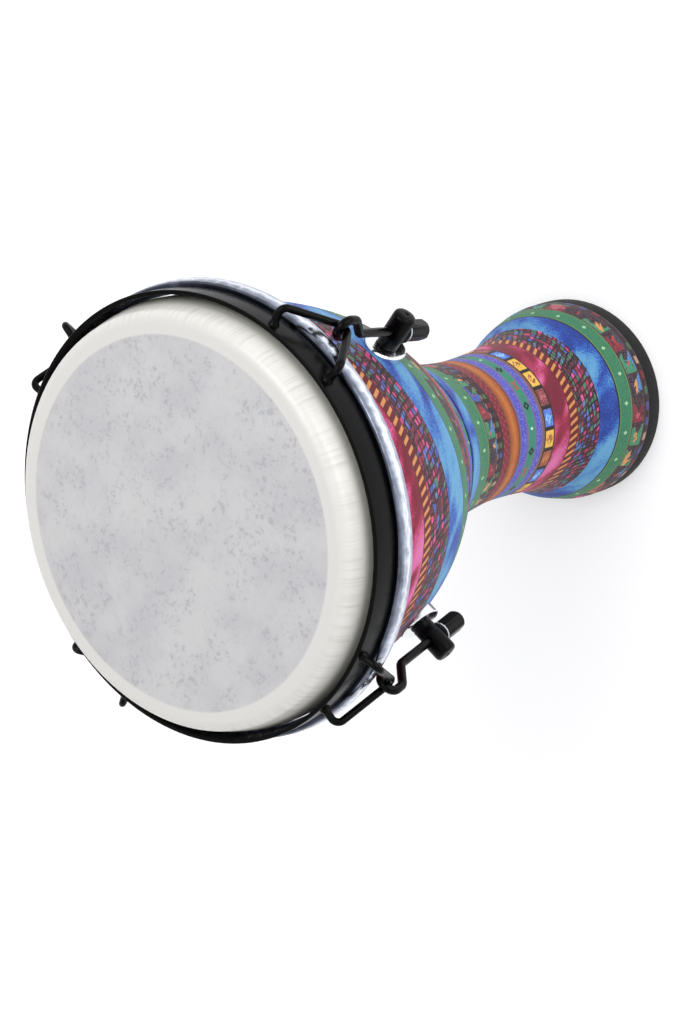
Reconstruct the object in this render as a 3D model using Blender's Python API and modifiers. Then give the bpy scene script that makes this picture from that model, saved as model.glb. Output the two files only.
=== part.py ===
"""A key-tuned djembe standing on its foot: a hollow goblet shell under printed fabric, a film head in a
metal flesh hoop, a tension ring with four welded wire bails, and four hook bolts with tuning nuts.

Metres, +Z up, origin on the drum's axis where the foot rests."""

import math

import bmesh
import bpy
from mathutils import Matrix, Vector

# ---- driving dimensions -------------------------------------------------------------------------
# Heights of the goblet, from the floor up
WAIST_HEIGHT = 0.165
NECK_RISE = 0.069
BOWL_DEPTH = 0.180
RIM_SKIRT = 0.0775
# Radii over the fabric
RIM_RADIUS = 0.1332
NECK_RADIUS = 0.0629
WAIST_RADIUS = 0.0550
FOOT_RADIUS = 0.0795
# Outlines as shares of a section's height and of its step in radius, from its upper end to its lower
BOWL_SHAPE = ((0.0, 1.0), (0.23, 0.90), (0.44, 0.735), (0.62, 0.50), (0.78, 0.24), (1.0, 0.0))
NECK_SHAPE = ((0.0, 1.0), (0.42, 0.36), (1.0, 0.0))
FLARE_SHAPE = ((0.0, 0.0), (0.26, 0.07), (0.46, 0.22), (0.58, 0.42), (0.70, 0.75), (0.82, 0.95))
FOOT_BAND = 0.024
SPAN_POINTS = 2
SHELL_WALL = 0.006
FABRIC = 0.0008
FABRIC_TOP_DROP = 0.0365
SEAM_RISE = 0.030
SEAM_WIDTH = 0.0006
GAP = 0.0003
STEPS = 36

FOOT_RING_HEIGHT = 0.0155
FOOT_RING_PROUD = 0.0012
FOOT_RING_SOLE = 0.004
FOOT_RING_INNER_LIP = 0.006
FOOT_RING_LIP_WALL = 0.003
FOOT_RING_EDGE = 0.0012

FILM = 0.0008
SHOULDER_RADIUS = 0.0085
SHOULDER_INSET = 0.0057
SHOULDER_TURN = math.radians(72.5)
SHOULDER_STEPS = 4
SKIRT_TOP_DROP = 0.0255
SKIRT_LENGTH = 0.016
BEARING_INSET = 0.0065
BEARING_ROUND = (0.35, 0.12)
BEARING_TO_WALL = 0.002

RING_DROP = 0.0142
RING_HEIGHT = 0.019
RING_STRIP = 0.003
RING_EDGE = 0.0006
RING_TO_SKIRT = 0.0018
HOOP_HEIGHT = 0.0130
HOOP_PROUD = 0.0045
HOOP_EDGE = 0.0016

LUG_COUNT = 4
LUG_BELOW_RING = 0.0880
POST_REACH = 0.0262
POST_HEAD_RADIUS = 0.00775
POST_HEAD_LENGTH = 0.0175
POST_NECK_RADIUS = 0.0072
POST_DOME = 0.0016
POST_DOME_SHAPE = ((0.55, 0.2), (0.90, 1.0), (1.0, 2.0))
POST_SIDES = 16
SADDLE_WIDTH = 0.026
SADDLE_HEIGHT = 0.034
SADDLE_THIN_EDGE = 0.0018
SADDLE_BLANK = 0.0216
SADDLE_SIDES = 16
SCREW_RADIUS = 0.0028
SCREW_GRIP = 0.0055
SCREW_HEAD_RADIUS = 0.0055
SCREW_HEAD_HEIGHT = 0.0034
BACKING_RADIUS = 0.0080
BACKING_THICKNESS = 0.0015
SPOT_FACE_DEPTH = 0.0012
SMALL_SIDES = 12
SHARP_ANGLE = math.radians(35)

ROD_RADIUS = 0.0030
ROD_TILT = math.radians(8.5)
ROD_SIDES_LEVEL = 2
ROD_INSET = 0.0146
ROD_BEND_RISE = 0.0450
ROD_SLANT_RISE = 0.0150
ROD_CORNER = 0.0070
ROD_HOLE_CLEARANCE = 0.0006
ROD_END_DROP = 0.0230
HOOK_CLEARANCE = 0.0009
HOOK_SEAT_GAP = 0.0004
HOOK_TIP = 0.0045
HOOK_STEPS = 8

BAIL_WIRE_RADIUS = 0.0025
BAIL_SPREAD = math.radians(9.8)
BAIL_STAND_OFF = 0.0105
BAIL_FEET_DROP = 0.0073
BAIL_BELOW_HOOP = 0.0130
BAIL_FOOT_CORNER = 0.0050
BAIL_APEX_CORNER = 0.0060
ARC_STEP = math.radians(22.5)

NUT_FLATS = 0.0130
NUT_LENGTH = 0.0270
NUT_DOME = 0.0060
NUT_DOME_STEPS = 4
NUT_CHAMFER = 0.0006
NUT_STEPS = 18
NUT_BORE_DEPTH = 0.0225
WASHER_RADIUS = 0.0080
WASHER_THICKNESS = 0.0012
SEAT_DEPTH = 0.0011
SEAT_SIDES = 24

# ---- places worked out from them ----------------------------------------------------------------
NECK_HEIGHT = WAIST_HEIGHT + NECK_RISE
BOWL_TOP = NECK_HEIGHT + BOWL_DEPTH
HEIGHT = BOWL_TOP + RIM_SKIRT
SHELL_INSET = FABRIC + GAP
SKIRT_RADIUS = (
    RIM_RADIUS
    - SHOULDER_INSET
    + SHOULDER_RADIUS * math.sin(SHOULDER_TURN)
    + (SKIRT_TOP_DROP - SHOULDER_RADIUS * (1 - math.cos(SHOULDER_TURN))) / math.tan(SHOULDER_TURN)
)
RING_INNER = SKIRT_RADIUS + RING_TO_SKIRT
RING_OUTER = RING_INNER + RING_STRIP
RING_TOP = HEIGHT - RING_DROP
RING_BOTTOM = RING_TOP - RING_HEIGHT
HOOP_TOP = RING_BOTTOM - GAP
HOOP_BOTTOM = HOOP_TOP - HOOP_HEIGHT
HOOP_OUTER = RING_OUTER + HOOP_PROUD
LUG_HEIGHT = RING_BOTTOM - LUG_BELOW_RING
BAIL_X = RING_OUTER + BAIL_STAND_OFF
BAIL_TOP = RING_TOP - BAIL_FEET_DROP
BAIL_DEPTH = BAIL_TOP - HOOP_BOTTOM + BAIL_BELOW_HOOP

parts = None
cutters = None


# ---- small tools --------------------------------------------------------------------------------
def clear_scene():
    for obj in list(bpy.data.objects):
        bpy.data.objects.remove(obj, do_unlink=True)


def new_collection(name):
    collection = bpy.data.collections.new(name)
    bpy.context.scene.collection.children.link(collection)
    return collection


def material(name, color, roughness, metallic=0.0):
    """A plain Principled BSDF; color is linear RGB."""
    mat = bpy.data.materials.new(name)
    mat.use_nodes = True
    shader = mat.node_tree.nodes["Principled BSDF"]
    shader.inputs["Base Color"].default_value = (*color, 1.0)
    shader.inputs["Roughness"].default_value = roughness
    shader.inputs["Metallic"].default_value = metallic
    return mat


def add_object(name, data, mat=None, collection=None):
    obj = bpy.data.objects.new(name, data)
    (collection or parts).objects.link(obj)
    if mat is not None:
        obj.data.materials.append(mat)
    return obj


def as_cutter(obj):
    obj.hide_render = True
    obj.display_type = "WIRE"
    return obj


def flowing(points, per_span=SPAN_POINTS):
    """A Catmull-Rom curve through the points, with per_span steps between two of them."""
    out = []
    for i in range(len(points) - 1):
        p0 = Vector(points[max(i - 1, 0)])
        p1 = Vector(points[i])
        p2 = Vector(points[i + 1])
        p3 = Vector(points[min(i + 2, len(points) - 1)])
        for k in range(per_span):
            t = k / per_span
            out.append(
                0.5 * (2 * p1 + (p2 - p0) * t + (2 * p0 - 5 * p1 + 4 * p2 - p3) * t**2
                       + (3 * p1 - p0 - 3 * p2 + p3) * t**3)
            )
    out.append(Vector(points[-1]))
    return out


def offset(outline, distance):
    """The (radius, height) outline moved sideways; positive goes outward when it runs downward."""
    out = []
    for i, point in enumerate(outline):
        before = outline[max(i - 1, 0)]
        after = outline[min(i + 1, len(outline) - 1)]
        along = (after - before).normalized()
        out.append(point + distance * Vector((-along.y, along.x)))
    return out


def radius_at(outline, height):
    """The radius of a downward (radius, height) outline at a height."""
    for upper, lower in zip(outline, outline[1:]):
        if upper.y >= height >= lower.y:
            share = (upper.y - height) / (upper.y - lower.y)
            return upper.x + (lower.x - upper.x) * share
    return outline[-1].x


def between(outline, top, bottom):
    """The stretch of a downward outline between two heights, with a point at each."""
    inside = [p.copy() for p in outline if bottom + 1e-6 < p.y < top - 1e-6]
    first = Vector((radius_at(outline, top), top))
    last = Vector((radius_at(outline, bottom), bottom))
    return [first, *inside, last]


def turned(name, outline, mat, closed=True, steps=STEPS, collection=None):
    """A profile of (radius, height) points turned round Z with a Screw modifier."""
    mesh = bpy.data.meshes.new(name)
    count = len(outline)
    edges = [(i, i + 1) for i in range(count - 1)]
    if closed:
        edges.append((count - 1, 0))
    mesh.from_pydata([(p[0], 0.0, p[1]) for p in outline], edges, [])
    obj = add_object(name, mesh, mat, collection)
    screw = obj.modifiers.new("turn", "SCREW")
    screw.axis = "Z"
    screw.angle = math.tau
    screw.steps = steps
    screw.render_steps = steps
    screw.use_merge_vertices = True
    screw.merge_threshold = 0.00001
    screw.use_smooth_shade = True
    return obj


def walled(obj, thickness):
    """Thickens an open turned surface inward."""
    solid = obj.modifiers.new("wall", "SOLIDIFY")
    solid.thickness = thickness
    solid.offset = -1.0
    solid.use_even_offset = True
    return obj


def cut(obj, cutter, operation="DIFFERENCE"):
    boolean = obj.modifiers.new(cutter.name, "BOOLEAN")
    boolean.operation = operation
    boolean.solver = "EXACT"
    boolean.object = cutter
    return obj


def rod_cutter(name, radius, start, end, sides=SMALL_SIDES):
    """A plain cylinder from start to end, for cutting."""
    start = Vector(start)
    end = Vector(end)
    mesh = bpy.data.meshes.new(name)
    bm = bmesh.new()
    bmesh.ops.create_cone(
        bm, cap_ends=True, segments=sides, radius1=radius, radius2=radius, depth=(end - start).length
    )
    bm.to_mesh(mesh)
    bm.free()
    obj = as_cutter(add_object(name, mesh, collection=cutters))
    turn = (end - start).to_track_quat("Z", "Y").to_matrix().to_4x4()
    obj.matrix_world = Matrix.Translation((start + end) / 2) @ turn
    return obj


def rounded_path(corners, radii):
    """A path through the corners, each inner one rounded to its radius by an arc of short steps."""
    points = [Vector(corners[0])]
    for i in range(1, len(corners) - 1):
        corner = Vector(corners[i])
        back = (Vector(corners[i - 1]) - corner).normalized()
        ahead = (Vector(corners[i + 1]) - corner).normalized()
        turn = math.pi - back.angle(ahead)
        inset = radii[i - 1] * math.tan(turn / 2)
        centre = corner + (back + ahead).normalized() * radii[i - 1] / math.cos(turn / 2)
        start = corner + back * inset - centre
        axis = start.cross(corner + ahead * inset - centre).normalized()
        steps = max(2, math.ceil(turn / ARC_STEP))
        for k in range(steps + 1):
            points.append(centre + Matrix.Rotation(turn * k / steps, 3, axis) @ start)
    points.append(Vector(corners[-1]))
    return points


def wire(name, points, radius, mat):
    """A round wire with flat ends along a list of points."""
    curve = bpy.data.curves.new(name, "CURVE")
    curve.dimensions = "3D"
    curve.bevel_depth = radius
    curve.bevel_resolution = ROD_SIDES_LEVEL
    curve.use_fill_caps = True
    spline = curve.splines.new("POLY")
    spline.points.add(len(points) - 1)
    for target, point in zip(spline.points, points):
        target.co = (*point, 1.0)
    spline.use_smooth = True
    return add_object(name, curve, mat)


def finished_mesh(obj):
    """The mesh that the object's modifiers give, in its own frame; the object is then removed."""
    bpy.context.view_layer.update()
    evaluated = obj.evaluated_get(bpy.context.evaluated_depsgraph_get())
    mesh = bpy.data.meshes.new_from_object(evaluated)
    mesh.name = obj.name
    bm = bmesh.new()
    bm.from_mesh(mesh)
    bmesh.ops.remove_doubles(bm, verts=bm.verts, dist=0.000001)
    bm.to_mesh(mesh)
    bm.free()
    bpy.data.objects.remove(obj, do_unlink=True)
    return mesh


def around(obj, place=Matrix.Identity(4)):
    """Puts one copy of the piece at each lug. They share its mesh; place is where the first one sits."""
    name = obj.name
    mesh = finished_mesh(obj)
    mesh.shade_smooth()
    mesh.set_sharp_from_angle(angle=SHARP_ANGLE)
    for k in range(LUG_COUNT):
        copy = bpy.data.objects.new(f"{name}_{k + 1}", mesh)
        parts.objects.link(copy)
        copy.matrix_world = Matrix.Rotation(math.tau * k / LUG_COUNT, 4, "Z") @ place


# ---- the goblet ---------------------------------------------------------------------------------
def covered_outline():
    """The drum's outside over the fabric, from the rim down to the floor."""
    bowl = [
        (NECK_RADIUS + share * (RIM_RADIUS - NECK_RADIUS), BOWL_TOP - depth * BOWL_DEPTH)
        for depth, share in BOWL_SHAPE
    ]
    neck = [
        (WAIST_RADIUS + share * (NECK_RADIUS - WAIST_RADIUS), NECK_HEIGHT - depth * NECK_RISE)
        for depth, share in NECK_SHAPE
    ]
    drop = WAIST_HEIGHT - FOOT_BAND
    flare = [
        (WAIST_RADIUS + share * (FOOT_RADIUS - WAIST_RADIUS), WAIST_HEIGHT - depth * WAIST_HEIGHT)
        for depth, share in FLARE_SHAPE
        if depth * WAIST_HEIGHT < drop
    ]
    points = [*bowl, *neck[1:], *flare[1:], (FOOT_RADIUS, FOOT_BAND)]
    curve = flowing(points)
    return [Vector((RIM_RADIUS, HEIGHT)), *curve, Vector((FOOT_RADIUS, 0.0))]


def shell_outline(covered):
    """The bare shell's outside, under the fabric, with its bearing edge rounded at the top."""
    top = HEIGHT - FILM - GAP
    side = RIM_RADIUS - SHELL_INSET
    edge = [
        Vector((RIM_RADIUS - BEARING_INSET, top)),
        Vector((side - BEARING_ROUND[0] * BEARING_INSET, top - BEARING_ROUND[1] * BEARING_INSET)),
        Vector((side, top - BEARING_INSET)),
    ]
    bare = offset(covered, -SHELL_INSET)
    foot = FOOT_RING_SOLE + GAP
    return [*edge, *between(bare, edge[-1].y - BEARING_TO_WALL, foot)]


def lug_holes(radius, reach, name):
    """Cutters for the post screws' holes, one at each lug."""
    holes = []
    for k in range(LUG_COUNT):
        turn = Matrix.Rotation(math.tau * k / LUG_COUNT, 3, "Z")
        start = turn @ Vector((reach[0], 0, LUG_HEIGHT))
        end = turn @ Vector((reach[1], 0, LUG_HEIGHT))
        holes.append(rod_cutter(f"{name}_{k + 1}", radius, start, end))
    return holes


def goblet(mats, covered):
    shell = walled(turned("shell", shell_outline(covered), mats["plastic"], closed=False), SHELL_WALL)
    seam = NECK_HEIGHT + SEAM_RISE
    bowl = between(covered, HEIGHT - FABRIC_TOP_DROP, seam + SEAM_WIDTH)
    stem = between(covered, seam, FOOT_RING_HEIGHT + GAP)
    bowl_wrap = walled(turned("bowl_wrap", bowl, mats["fabric"], closed=False), FABRIC)
    walled(turned("stem_wrap", stem, mats["fabric"], closed=False), FABRIC)

    outside = radius_at(covered, LUG_HEIGHT)
    for hole in lug_holes(SCREW_RADIUS + GAP, (outside * 0.7, outside * 1.2), "screw_hole"):
        cut(shell, hole)
        cut(bowl_wrap, hole)
    for face in lug_holes(BACKING_RADIUS + 2 * GAP, (outside * 0.7, spot_face_x(covered)), "spot_face"):
        cut(shell, face)


def spot_face_x(covered):
    """How far out the flat under each backing washer lies, cut a little into the sloping inner wall."""
    inner = offset(covered, -SHELL_INSET - SHELL_WALL)
    return radius_at(inner, LUG_HEIGHT) + SPOT_FACE_DEPTH


def foot_ring(mats):
    shell_side = FOOT_RADIUS - SHELL_INSET
    wall = SHELL_WALL + 2 * GAP
    outer = FOOT_RADIUS + FOOT_RING_PROUD
    lip_top = FOOT_RING_SOLE + FOOT_RING_INNER_LIP
    lip = shell_side + GAP - wall - FOOT_RING_LIP_WALL
    outline = [
        (outer - FOOT_RING_EDGE, FOOT_RING_HEIGHT),
        (outer, FOOT_RING_HEIGHT - FOOT_RING_EDGE),
        (outer, FOOT_RING_EDGE),
        (outer - FOOT_RING_EDGE, 0.0),
        (lip, 0.0),
        (lip, lip_top),
        (shell_side + GAP - wall, lip_top),
        (shell_side + GAP - wall, FOOT_RING_SOLE),
        (shell_side + GAP, FOOT_RING_SOLE),
        (shell_side + GAP, FOOT_RING_HEIGHT),
    ]
    turned("foot_ring", outline, mats["rubber"])


# ---- the head and its hoops -----------------------------------------------------------------------
def drumhead(mats):
    centre = Vector((RIM_RADIUS - SHOULDER_INSET, HEIGHT - SHOULDER_RADIUS))
    arc = []
    for k in range(SHOULDER_STEPS + 1):
        turn = SHOULDER_TURN * k / SHOULDER_STEPS
        arc.append(centre + SHOULDER_RADIUS * Vector((math.sin(turn), math.cos(turn))))
    skirt_top = HEIGHT - SKIRT_TOP_DROP
    outline = [
        (0.0, HEIGHT),
        *arc,
        (SKIRT_RADIUS, skirt_top),
        (SKIRT_RADIUS, skirt_top - SKIRT_LENGTH),
    ]
    walled(turned("drumhead", outline, mats["film"], closed=False), FILM)


def ring_and_hoop(mats):
    ring = [
        (RING_OUTER - RING_EDGE, RING_TOP),
        (RING_OUTER, RING_TOP - RING_EDGE),
        (RING_OUTER, RING_BOTTOM),
        (RING_INNER, RING_BOTTOM),
        (RING_INNER, RING_TOP - RING_EDGE),
        (RING_INNER + RING_EDGE, RING_TOP),
    ]
    turned("tension_ring", ring, mats["black_steel"])
    hoop_inner = SKIRT_RADIUS + GAP
    hoop = [
        (HOOP_OUTER - HOOP_EDGE, HOOP_TOP),
        (HOOP_OUTER, HOOP_TOP - HOOP_EDGE),
        (HOOP_OUTER, HOOP_BOTTOM + HOOP_EDGE),
        (HOOP_OUTER - HOOP_EDGE, HOOP_BOTTOM),
        (hoop_inner, HOOP_BOTTOM),
        (hoop_inner, HOOP_TOP),
    ]
    turned("flesh_hoop", hoop, mats["aluminium"])


def bail_corner_height():
    return BAIL_TOP - BAIL_DEPTH


def bail_half_width():
    return BAIL_X * math.tan(BAIL_SPREAD)


def bail_apex_height():
    """The height of the wire's centre at the rounded bottom of the V."""
    slope = math.atan2(BAIL_DEPTH, bail_half_width())
    return bail_corner_height() + BAIL_APEX_CORNER * (1 / math.cos(slope) - 1)


def bails(mats):
    foot = RING_OUTER + GAP
    corners = []
    for side in (-1, 1):
        angle = side * BAIL_SPREAD
        on_ring = (foot * math.cos(angle), foot * math.sin(angle), BAIL_TOP)
        bend = (BAIL_X, side * bail_half_width(), BAIL_TOP)
        corners.append([on_ring, bend])
    path = [*corners[0], (BAIL_X, 0.0, bail_corner_height()), *reversed(corners[1])]
    points = rounded_path(path, [BAIL_FOOT_CORNER, BAIL_APEX_CORNER, BAIL_FOOT_CORNER])
    around(wire("bail", points, BAIL_WIRE_RADIUS, mats["black_steel"]))


# ---- one lug, at azimuth 0 ------------------------------------------------------------------------
def saddle_face_x(covered):
    """The flat outer face of the saddle plate, where the post stands."""
    return radius_at(covered, LUG_HEIGHT + SADDLE_HEIGHT / 2) + SADDLE_THIN_EDGE


def rod_frame(covered):
    """The hook bolt's frame: origin where its axis crosses the post's axis, local Z up the rod."""
    x = saddle_face_x(covered) + POST_REACH - ROD_INSET
    return Matrix.Translation((x, 0, LUG_HEIGHT)) @ Matrix.Rotation(ROD_TILT, 4, "Y")


def saddle(mats, covered):
    face = saddle_face_x(covered)
    depth = SADDLE_BLANK
    bpy.ops.mesh.primitive_cylinder_add(vertices=SADDLE_SIDES, radius=0.5, depth=1.0)
    obj = bpy.context.object
    obj.name = "lug_saddle"
    for collection in obj.users_collection:
        collection.objects.unlink(obj)
    parts.objects.link(obj)
    obj.data.materials.append(mats["saddle"])
    shape = Matrix.Translation((face - depth / 2, 0, LUG_HEIGHT)) @ Matrix.Rotation(math.pi / 2, 4, "Y")
    obj.data.transform(shape @ Matrix.Diagonal((SADDLE_HEIGHT, SADDLE_WIDTH, depth, 1.0)))
    clear = offset(covered, GAP)
    low = LUG_HEIGHT - SADDLE_HEIGHT
    high = LUG_HEIGHT + SADDLE_HEIGHT
    plug = [(0.0, high), *between(clear, high, low), (0.0, low)]
    bowl = as_cutter(turned("bowl_clearance", plug, None, closed=False, collection=cutters))
    cut(obj, bowl)
    cut(obj, rod_cutter("saddle_hole", SCREW_RADIUS + GAP, (0.0, 0, LUG_HEIGHT), (1.0, 0, LUG_HEIGHT)))
    around(obj)


def post(mats, covered, frame):
    base = saddle_face_x(covered) + GAP
    end = saddle_face_x(covered) + POST_REACH
    shoulder = end - POST_HEAD_LENGTH
    outline = [(0.0, end)]
    outline += [(out * POST_HEAD_RADIUS, end - down * POST_DOME) for out, down in POST_DOME_SHAPE]
    outline += [
        (POST_HEAD_RADIUS, shoulder),
        (POST_NECK_RADIUS, shoulder - (POST_HEAD_RADIUS - POST_NECK_RADIUS)),
        (POST_NECK_RADIUS, base),
        (0.0, base),
    ]
    obj = turned("lug_post", outline, mats["black_steel"], closed=False, steps=POST_SIDES)
    obj.matrix_world = Matrix.Translation((0, 0, LUG_HEIGHT)) @ Matrix.Rotation(math.pi / 2, 4, "Y")
    hole = rod_cutter(
        "rod_hole",
        ROD_RADIUS + ROD_HOLE_CLEARANCE,
        frame @ Vector((0, 0, -2 * POST_HEAD_RADIUS)),
        frame @ Vector((0, 0, 2 * POST_HEAD_RADIUS)),
    )
    seat_top = POST_HEAD_RADIUS - SEAT_DEPTH
    seat = rod_cutter(
        "washer_seat",
        WASHER_RADIUS + GAP,
        frame @ Vector((0, 0, -seat_top - POST_HEAD_RADIUS)),
        frame @ Vector((0, 0, -seat_top)),
        sides=SEAT_SIDES,
    )
    thread = rod_cutter(
        "post_thread",
        SCREW_RADIUS + GAP,
        (0.5 * base, 0, LUG_HEIGHT),
        (base + SCREW_GRIP + GAP, 0, LUG_HEIGHT),
    )
    for cutter in (hole, seat, thread):
        cut(obj, cutter)
    place = obj.matrix_world.copy()
    around(obj, place)


def post_screw(mats, covered):
    """The screw and backing washer inside the bowl that hold the post on."""
    seat = spot_face_x(covered)
    under_head = seat - 2 * GAP - BACKING_THICKNESS
    tip = saddle_face_x(covered) + SCREW_GRIP
    rim = 0.2 * SCREW_HEAD_RADIUS
    outline = [
        (0.0, tip),
        (SCREW_RADIUS, tip),
        (SCREW_RADIUS, under_head),
        (SCREW_HEAD_RADIUS, under_head),
        (SCREW_HEAD_RADIUS, under_head - SCREW_HEAD_HEIGHT + rim),
        (SCREW_HEAD_RADIUS - rim, under_head - SCREW_HEAD_HEIGHT),
        (0.0, under_head - SCREW_HEAD_HEIGHT),
    ]
    lie = Matrix.Translation((0, 0, LUG_HEIGHT)) @ Matrix.Rotation(math.pi / 2, 4, "Y")
    around(turned("lug_screw", outline, mats["zinc"], closed=False, steps=SMALL_SIDES), lie)
    hole = SCREW_RADIUS + GAP
    top = seat - GAP
    ring = [(BACKING_RADIUS, top), (BACKING_RADIUS, top - BACKING_THICKNESS)]
    ring += [(hole, top - BACKING_THICKNESS), (hole, top)]
    around(turned("backing_washer", ring, mats["zinc"], steps=SMALL_SIDES), lie)


def hook_bolt(mats, frame):
    """A rod through the post that steps outward and hooks over the bottom of the bail."""
    apex = frame.inverted() @ Vector((BAIL_X, 0, bail_apex_height()))
    bend = BAIL_WIRE_RADIUS + ROD_RADIUS + HOOK_CLEARANCE
    centre = Vector((apex.x, 0, apex.z - (HOOK_CLEARANCE - HOOK_SEAT_GAP)))
    up = centre.x + bend
    tip = centre.x - bend
    corners = [
        (0, 0, -ROD_END_DROP),
        (0, 0, ROD_BEND_RISE),
        (up, 0, ROD_BEND_RISE + ROD_SLANT_RISE),
    ]
    points = rounded_path([*corners, (up, 0, centre.z)], [ROD_CORNER, ROD_CORNER])[:-1]
    for k in range(HOOK_STEPS + 1):
        turn = math.pi * k / HOOK_STEPS
        points.append(centre + bend * Vector((math.cos(turn), 0, math.sin(turn))))
    points.append(Vector((tip, 0, centre.z - HOOK_TIP)))
    around(wire("hook_bolt", points, ROD_RADIUS, mats["black_steel"]), frame)


def nut_and_washer(mats, frame):
    seat = -(POST_HEAD_RADIUS - SEAT_DEPTH) - GAP
    hole = ROD_RADIUS + ROD_HOLE_CLEARANCE
    ring = [(WASHER_RADIUS, seat), (WASHER_RADIUS, seat - WASHER_THICKNESS)]
    ring += [(hole, seat - WASHER_THICKNESS), (hole, seat)]
    around(turned("lug_washer", ring, mats["zinc"], steps=POST_SIDES), frame)

    top = seat - WASHER_THICKNESS - GAP
    corner = NUT_FLATS / math.sqrt(3)
    low = top - NUT_LENGTH
    dome = []
    for k in range(NUT_DOME_STEPS):
        turn = math.pi / 2 * k / NUT_DOME_STEPS
        dome.append((corner * math.cos(turn), low + NUT_DOME * (1 - math.sin(turn))))
    bore_floor = top - NUT_BORE_DEPTH
    outline = [(hole, top), (corner - NUT_CHAMFER, top), (corner, top - NUT_CHAMFER), *dome, (0.0, low)]
    outline = [(0.0, bore_floor), (hole, bore_floor), *outline]
    nut = turned("tuning_nut", outline, mats["black_steel"], closed=False, steps=NUT_STEPS)
    hexagon = bpy.data.meshes.new("hexagon")
    bm = bmesh.new()
    bmesh.ops.create_cone(bm, cap_ends=True, segments=6, radius1=corner, radius2=corner, depth=3 * NUT_LENGTH)
    bm.to_mesh(hexagon)
    bm.free()
    prism = as_cutter(add_object("nut_hexagon", hexagon, collection=cutters))
    prism.location.z = top
    cut(nut, prism, "INTERSECT")
    around(nut, frame)


def main():
    global parts, cutters
    clear_scene()
    parts = new_collection("djembe")
    cutters = new_collection("cutters")
    mats = {
        "plastic": material("shell plastic", (0.02, 0.02, 0.02), 0.5),
        "fabric": material("printed fabric", (0.25, 0.05, 0.12), 0.8),
        "rubber": material("foot rubber", (0.02, 0.02, 0.02), 0.7),
        "film": material("head film", (0.75, 0.74, 0.70), 0.4),
        "aluminium": material("hoop aluminium", (0.7, 0.72, 0.75), 0.25, 1.0),
        "black_steel": material("powder-coated steel", (0.008, 0.008, 0.008), 0.35),
        "saddle": material("saddle plate", (0.6, 0.62, 0.65), 0.3, 1.0),
        "zinc": material("zinc-plated steel", (0.6, 0.6, 0.6), 0.3, 1.0),
    }
    covered = covered_outline()
    frame = rod_frame(covered)
    goblet(mats, covered)
    foot_ring(mats)
    drumhead(mats)
    ring_and_hoop(mats)
    bails(mats)
    saddle(mats, covered)
    post(mats, covered, frame)
    post_screw(mats, covered)
    hook_bolt(mats, frame)
    nut_and_washer(mats, frame)


main()
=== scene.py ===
"""The looks of a key-tuned djembe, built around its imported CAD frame: printed cloth stretched over a moulded
shell, a coated film head in a crimped flesh hoop, a powder-coated tension ring with bails, and four lugs."""

import bisect
import math

import bmesh
import bpy
from mathutils import Matrix, Vector


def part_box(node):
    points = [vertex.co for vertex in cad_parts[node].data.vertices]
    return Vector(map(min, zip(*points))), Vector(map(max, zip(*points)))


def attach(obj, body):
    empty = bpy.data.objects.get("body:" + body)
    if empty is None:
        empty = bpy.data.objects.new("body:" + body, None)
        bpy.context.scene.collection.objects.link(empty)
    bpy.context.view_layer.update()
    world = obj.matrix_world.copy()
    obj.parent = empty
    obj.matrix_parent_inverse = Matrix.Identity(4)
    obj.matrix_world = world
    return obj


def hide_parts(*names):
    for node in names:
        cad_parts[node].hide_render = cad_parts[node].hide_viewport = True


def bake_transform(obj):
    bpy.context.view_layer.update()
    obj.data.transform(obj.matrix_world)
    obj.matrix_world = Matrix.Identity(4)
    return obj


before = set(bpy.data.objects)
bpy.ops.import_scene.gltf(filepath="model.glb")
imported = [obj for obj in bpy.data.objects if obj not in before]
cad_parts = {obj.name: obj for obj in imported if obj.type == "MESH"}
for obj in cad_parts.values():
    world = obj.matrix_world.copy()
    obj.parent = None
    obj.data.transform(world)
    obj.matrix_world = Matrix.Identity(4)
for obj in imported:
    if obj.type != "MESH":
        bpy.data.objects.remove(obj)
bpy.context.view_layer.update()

# ---- sizes, in metres: the same driving dimensions as the CAD ------------------------------------------
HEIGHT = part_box("drumhead")[1][2]
WAIST_HEIGHT = 0.165
NECK_HEIGHT = 0.234
BOWL_TOP = 0.414
RIM_RADIUS = 0.1332
NECK_RADIUS = 0.0629
WAIST_RADIUS = 0.0550
FOOT_RADIUS = 0.0795
BOWL_SHAPE = ((0.0, 1.0), (0.23, 0.90), (0.44, 0.735), (0.62, 0.50), (0.78, 0.24), (1.0, 0.0))
NECK_SHAPE = ((0.42, 0.36), (1.0, 0.0))
FLARE_SHAPE = ((0.26, 0.07), (0.46, 0.22), (0.58, 0.42), (0.70, 0.75), (0.82, 0.95))
FOOT_BAND = 0.024
SHELL_INSET = 0.0011
SHELL_WALL = 0.006
GAP = 0.0003
CLOTH = 0.0007
CLOTH_TOP = 0.455
SEAM_HEIGHT = 0.264
FOOT_RING_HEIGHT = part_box("foot_ring")[1][2]
LEDGE_HEIGHT = 0.004

SHOULDER_START = 0.1275
SHOULDER_RADIUS = 0.0085
SHOULDER_TURN = math.radians(72.5)
SKIRT_RADIUS = 0.1418
SKIRT_TOP = 0.466
SKIRT_FOOT = 0.450
PATCH_RADIUS = 0.1209
RING_INNER = SKIRT_RADIUS + 0.0018
RING_OUTER = RING_INNER + 0.003
RING_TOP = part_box("tension_ring")[1][2]
RING_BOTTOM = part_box("tension_ring")[0][2]
HOOP_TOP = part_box("flesh_hoop")[1][2]
HOOP_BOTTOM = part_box("flesh_hoop")[0][2]
HOOP_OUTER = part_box("flesh_hoop")[1][0]
CRIMPS = 96

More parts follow.
